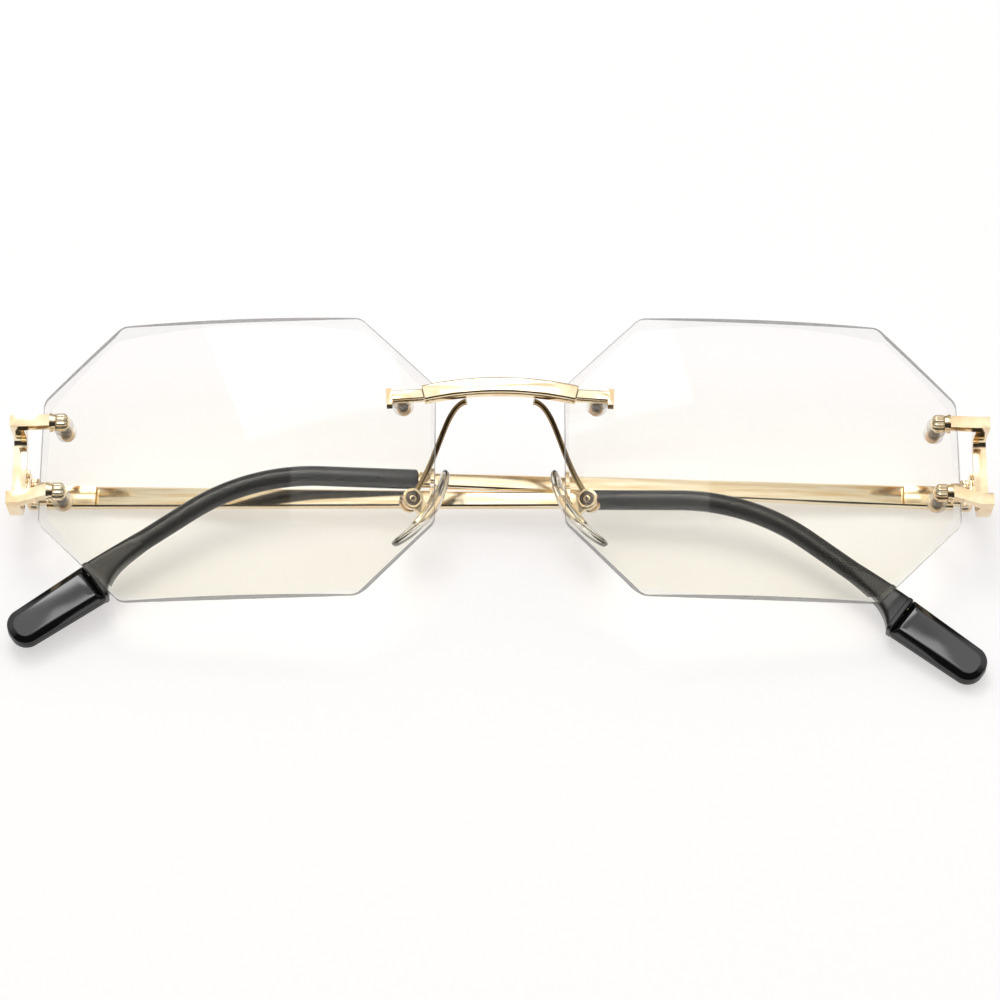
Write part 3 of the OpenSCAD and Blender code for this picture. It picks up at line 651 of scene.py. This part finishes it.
def tip(side):
    """The gloss black tip: a rounded paddle with wide bevels round a softly crowned panel."""
    seam, top, low = HOOK_LEN - TIP_LEN, SLEEVE_R, SLEEVE_R - TIP_W
    less = (TIP_W - TIP_END_W) / 2
    steps, end_r, chamfer, arris = 12, 2.3, 0.85, 0.12
    corners = [(seam, low), (HOOK_LEN, low + less), (HOOK_LEN, top - less), (seam, top)]
    ends = rounded(corners, end_r, steps)[steps + 1 : 3 * (steps + 1)]
    bm = bmesh.new()
    face = bm.faces.new([bm.verts.new((x, y, -TIP_T / 2)) for x, y in [corners[0], *ends, corners[3]]])
    grown = bmesh.ops.extrude_face_region(bm, geom=[face])
    bmesh.ops.translate(bm, vec=(0, 0, TIP_T), verts=new_verts(grown))
    bmesh.ops.recalc_face_normals(bm, faces=bm.faces)
    level = [e for e in bm.edges if abs(e.verts[0].co.z - e.verts[1].co.z) < 1e-6]
    bevel(bm, [e for e in level if e.calc_face_angle(0) > 1], chamfer, 1)
    bevel(bm, folded_edges(bm, math.radians(20)), arris, 3)
    for count, start, length, axis in ((14, seam, TIP_LEN, (1, 0, 0)), (8, low, TIP_W, (0, 1, 0))):
        for i in range(1, count):
            at = Vector(axis) * (start + i * length / count)
            bmesh.ops.bisect_plane(bm, geom=whole(bm), plane_co=at, plane_no=axis)
    # Both faces fall away towards the top edge and towards the end, and the chamfers go with them
    level_w, level_l, fall_w, fall_l = 1, 4, 0.3, 0.4
    for v in bm.verts:
        high = min(1, max(0, (v.co.y - low - level_w) / (TIP_W - level_w)))
        far = max(0, (v.co.x - seam - level_l) / (TIP_LEN - level_l))
        part = max(0, (abs(v.co.z) - TIP_T / 2 + chamfer) / chamfer)
        v.co.z -= math.copysign(part * (fall_w * high * high + fall_l * far * far), v.co.z)
    acetate = [tip_acetate, shaded_tip_side]
    # The side walls take the shaded copy of the acetate: painted shade.
    for face in bm.faces:
        face.material_index = acetate.index(shaded_tip_side if abs(face.normal.z) < 0.35 else tip_acetate)
    finish_piece("temple_tip_" + SIDE[side], "_gloss", bm, folded(side) @ along_hook(0), acetate, 25)


def nose_pad(side):
    """The clear silicone pad: a thin drop shape, domed on its nose side."""
    curve, narrowing, steps = 16, 0.14, 28
    stations = []
    for i in range(steps + 1):
        a = math.pi * i / steps
        y = -math.cos(a) * PAD_LEN / 2
        wide = max(math.sin(a), 0.02) ** 0.8 * PAD_W / 2 * (1 - narrowing * y / (PAD_LEN / 2))
        thick = max(math.sin(a), 0.05) ** 0.5 * PAD_T / 2
        place = (
            Matrix.Translation((-PAD_OFF + y * y / (2 * curve), y, 0)) @ Matrix.Rotation(math.pi / 2, 4, "Z")
        )
        stations.append((place, oval(thick, wide, 2.4)))
    bm = swept(bmesh.new(), stations, 44)
    finish_piece("nose_pad_" + SIDE[side], "_silicone", bm, at_pad(side), [silicone], 50)


def pad_wire(side):
    """The bent wire from the bridge's back to the pad box, thickened where it is soldered on."""
    bar_over = WASHER_T + 2 * SEAT + WASHER_R * math.sin(WRAP) + END_BAR_H / 2
    bar_end = on_lens(*HOLES[0], bar_over)
    a = Vector((HALF_GAP / 2, bar_end.y - 0.1, bar_end.z + 0.1 - BRIDGE_D / 2 - ARM_R - SEAT))
    d = PAD_AT + (BOX_R + 2 * SEAT) * Vector((-math.sin(ARM_LANDS), math.cos(ARM_LANDS), 0))
    b, c = a + Vector((3, -0.3, -0.9)), d + Vector((-3.3, 5, 0.5))

    def at(t):
        r = 1 - t
        return r**3 * a + 3 * r * r * t * b + 3 * r * t * t * c + t**3 * d

    thickened, solder = 0.12, 0.12
    stations = []
    steps = 60
    for i in range(steps + 1):
        t = i / steps
        way = (at(t + 0.01) - at(t - 0.01)).normalized()
        across = way.cross(Vector((0, 0.3, 1))).normalized()
        place = Matrix.Translation(at(t)) @ Matrix((way, across, way.cross(across))).transposed().to_4x4()
        r = ARM_R * (1 + thickened * max(0, 1 - t / solder))
        stations.append((place, oval(r, r)))
    bm = swept(bmesh.new(), stations, 24)
    finish_piece("pad_arm_" + SIDE[side], "_wire", bm, half(side), [wire_gold], 50)


def screw_head(side):
    """A pad screw: a dark head with a turned groove, and gold on the ring in the middle as a painted highlight for
    the glint on the head.
    """
    # Distance along the screw and radius there: the shank, the head's rim, the groove and the ring
    profile = (
        (-1.39, 0.34), (-1.33, 0.4), (0.96, 0.4), (0.98, 0.95), (1.29, 0.95), (1.34, 0.9), (1.34, 0.8),
        (1.16, 0.66), (1.16, 0.56), (1.3, 0.5), (1.34, 0.44), (1.34, 0.32), (1.3, 0.27), (1.1, 0.22),
    )
    bm = swept(bmesh.new(), [(Matrix.Translation((x, 0, 0)), oval(r, r)) for x, r in profile], 48)
    metals = [screw, gold]
    for face in bm.faces:
        mid = face.calc_center_median()
        # The ring in the middle takes the bright gold: a painted highlight.
        in_painted_glint = mid.x > 1.2 and 0.25 < math.hypot(mid.y, mid.z) < 0.54
        face.material_index = metals.index(gold if in_painted_glint else screw)
    place = at_pad(side) @ Matrix.Rotation(-math.pi / 2, 4, "Y")
    finish_piece("pad_screw_" + SIDE[side], "_turned", bm, place, metals, 35)


def fluted_caps(side):
    """The two fluted caps on the lens's temple side, each with a domed end."""
    dome, rim = 1.15 * CAP_R, 0.1
    on_dome = (0.01, 0.05, 0.12, 0.22, 0.35, 0.5, 0.7, 0.9, 1.2, 1.5)
    bm = bmesh.new()
    for hole in HOLES[1:]:
        at = on_lens(*hole, CAP_OVER)
        stations = []
        for x in (*on_dome, CAP_LEN - rim, CAP_LEN - 0.03, CAP_LEN):
            r = min(CAP_R, math.sqrt(max(0, dome * dome - (dome - x) ** 2))) if x < dome else CAP_R
            r -= max(0, x - CAP_LEN + rim) * 0.8

            def ribs(a, r=r):
                groove = (0.5 + 0.5 * math.cos(FLUTES * a)) ** 1.6
                far = r * (1 - 0.16 * groove * min(1, r / CAP_R) ** 2)
                return far * math.cos(a), far * math.sin(a)

            stations.append((Matrix.Translation((CAP_START + x, at.y, at.z)), ribs))
        swept(bm, stations, 12 * FLUTES)
    finish_piece("fluted_caps_" + SIDE[side], "_ribbed", bm, half(side), [gold], 45)


for side in (-1, 1):
    lens(side)
    sleeve(side)
    tip(side)
    nose_pad(side)
    pad_wire(side)
    screw_head(side)
    fluted_caps(side)
    eased("lens_washers_" + SIDE[side], 0.07)
    eased("end_piece_" + SIDE[side], 0.3, segments=4)
    eased("temple_bar_" + SIDE[side], 0.06)
    eased("hinge_front_" + SIDE[side], 0.12)
    eased("hinge_leaf_" + SIDE[side], 0.1)
    eased("pad_box_" + SIDE[side], 0.12)
    eased("lens_nuts_" + SIDE[side], 0.08)
eased("bridge", 0.12, fully=True)

# Camera, which looks at a point between the lenses from below their normal

AIM = FRONT @ Vector((0, -2.1, 2.69))
BELOW = math.radians(22)
AWAY = 0.5
SENSOR = 36
FOCAL = 3.665 * SENSOR
SHIFT = -0.042
ROLL = math.radians(0.1)
toward = (FRONT.to_3x3() @ Vector((0, -math.sin(BELOW), math.cos(BELOW)))).normalized()
camera_data = bpy.data.cameras.new("camera")
camera = bpy.data.objects.new("camera", camera_data)
bpy.context.scene.collection.objects.link(camera)
camera_data.sensor_width = SENSOR
camera_data.lens = FOCAL
camera_data.shift_y = SHIFT
camera_data.clip_start = 0.01
camera.location = AIM + toward * AWAY
camera.rotation_mode = "QUATERNION"
roll = Matrix.Rotation(ROLL, 3, "Z").to_quaternion()
camera.rotation_quaternion = toward.to_track_quat("Z", "Y") @ roll
bpy.context.scene.camera = camera

# Table

bm = bmesh.new()
bmesh.ops.create_grid(bm, x_segments=2, y_segments=2, size=1.5)
floor_mesh = bpy.data.meshes.new("table")
bm.to_mesh(floor_mesh)
bm.free()
table = bpy.data.objects.new("table", floor_mesh)
bpy.context.scene.collection.objects.link(table)
# A matt white table: plain where the light falls, and greyer and slightly pink in the shadows
mat, tree = material("matt white table")
at = add(tree, "ShaderNodeTexCoord").outputs["Object"]
specks = {"Scale": scale_of(FINE_GRAIN), "Detail": 2.0}
grain = add(tree, "ShaderNodeTexNoise", specks, {"Vector": at}).outputs["Fac"]
tone = add(tree, "ShaderNodeMix", {"data_type": "RGBA", 6: rgb("#c6c6c6"), 7: rgb("#cbcbcb")}, {0: grain})
matt = add(tree, "ShaderNodeBsdfDiffuse", None, {"Color": tone.outputs[2]})
glow = add(tree, "ShaderNodeEmission", {"Color": rgb("#fffcfb"), "Strength": 0.55})
both = add(tree, "ShaderNodeAddShader", None, {0: matt.outputs[0], 1: glow.outputs[0]})
ray = add(tree, "ShaderNodeLightPath")
seen = ray.outputs["Is Camera Ray"]
for kind in ("Is Glossy Ray", "Is Transmission Ray"):
    seen = add(tree, "ShaderNodeMath", {"operation": "MAXIMUM"}, {0: seen, 1: ray.outputs[kind]}).outputs[0]
pick = add(tree, "ShaderNodeMixShader", None, {0: seen, 1: matt.outputs[0], 2: both.outputs[0]})
add(tree, "ShaderNodeOutputMaterial", None, {"Surface": pick.outputs[0]})
floor_mesh.materials.append(mat)

# The studio: bright overhead, behind and at the sides, with a brighter panel on each side of the crown,
# and dark round the horizon and on the camera's side

world = bpy.data.worlds.new("studio")
world.use_nodes = True
bpy.context.scene.world = world
tree = world.node_tree
tree.nodes.clear()
way = add(tree, "ShaderNodeTexCoord").outputs["Generated"]
axes = add(tree, "ShaderNodeSeparateXYZ", None, {0: way})
smooth = {"interpolation_type": "SMOOTHSTEP"}
horizon = {**smooth, "From Min": 0.15, "From Max": 0.45}
up = add(tree, "ShaderNodeMapRange", horizon, {"Value": axes.outputs["Z"]})
behind = {**smooth, "From Min": -0.5, "From Max": -0.05}
rear = add(tree, "ShaderNodeMapRange", behind, {"Value": axes.outputs["Y"]})
lit = add(tree, "ShaderNodeMath", {"operation": "MULTIPLY"}, {0: up.outputs[0], 1: rear.outputs[0]})
level = add(tree, "ShaderNodeMapRange", {"To Min": 0.04, "To Max": 0.7}, {"Value": lit.outputs[0]})
ceiling = {**smooth, "From Min": 0.8, "From Max": 0.97, "To Max": 0.22}
crown = add(tree, "ShaderNodeMapRange", ceiling, {"Value": axes.outputs["Z"]})
aside = add(tree, "ShaderNodeMath", {"operation": "ABSOLUTE"}, {0: axes.outputs["X"]})
panels = {**smooth, "From Min": 0.05, "From Max": 0.15, "To Min": 1.0, "To Max": 3.2}
sides = add(tree, "ShaderNodeMapRange", panels, {"Value": aside.outputs[0]})
over = add(tree, "ShaderNodeMath", {"operation": "MULTIPLY"}, {0: crown.outputs[0], 1: sides.outputs[0]})
total = add(tree, "ShaderNodeMath", {"operation": "ADD"}, {0: level.outputs[0], 1: over.outputs[0]})
back = add(tree, "ShaderNodeBackground", {"Color": rgb("#ffffff")}, {"Strength": total.outputs[0]})
add(tree, "ShaderNodeOutputWorld", None, {"Surface": back.outputs[0]})


def softbox(name, at, size, power):
    """A soft lamp that points at the glasses."""
    data = bpy.data.lights.new(name, "AREA")
    data.shape = "RECTANGLE"
    data.size, data.size_y = size
    data.energy = power
    lamp = bpy.data.objects.new(name, data)
    lamp.location = at
    lamp.rotation_mode = "QUATERNION"
    lamp.rotation_quaternion = Vector(at).to_track_quat("Z", "Y")
    bpy.context.scene.collection.objects.link(lamp)


softbox("overhead lamp", (0.0, 0.035, 1.0), (0.3, 0.16), 0.42)
softbox("key softbox", (-0.12, 0.42, 0.95), (0.4, 0.4), 2.2)

bpy.context.scene.view_settings.view_transform = "Standard"

bpy.context.view_layer.update()
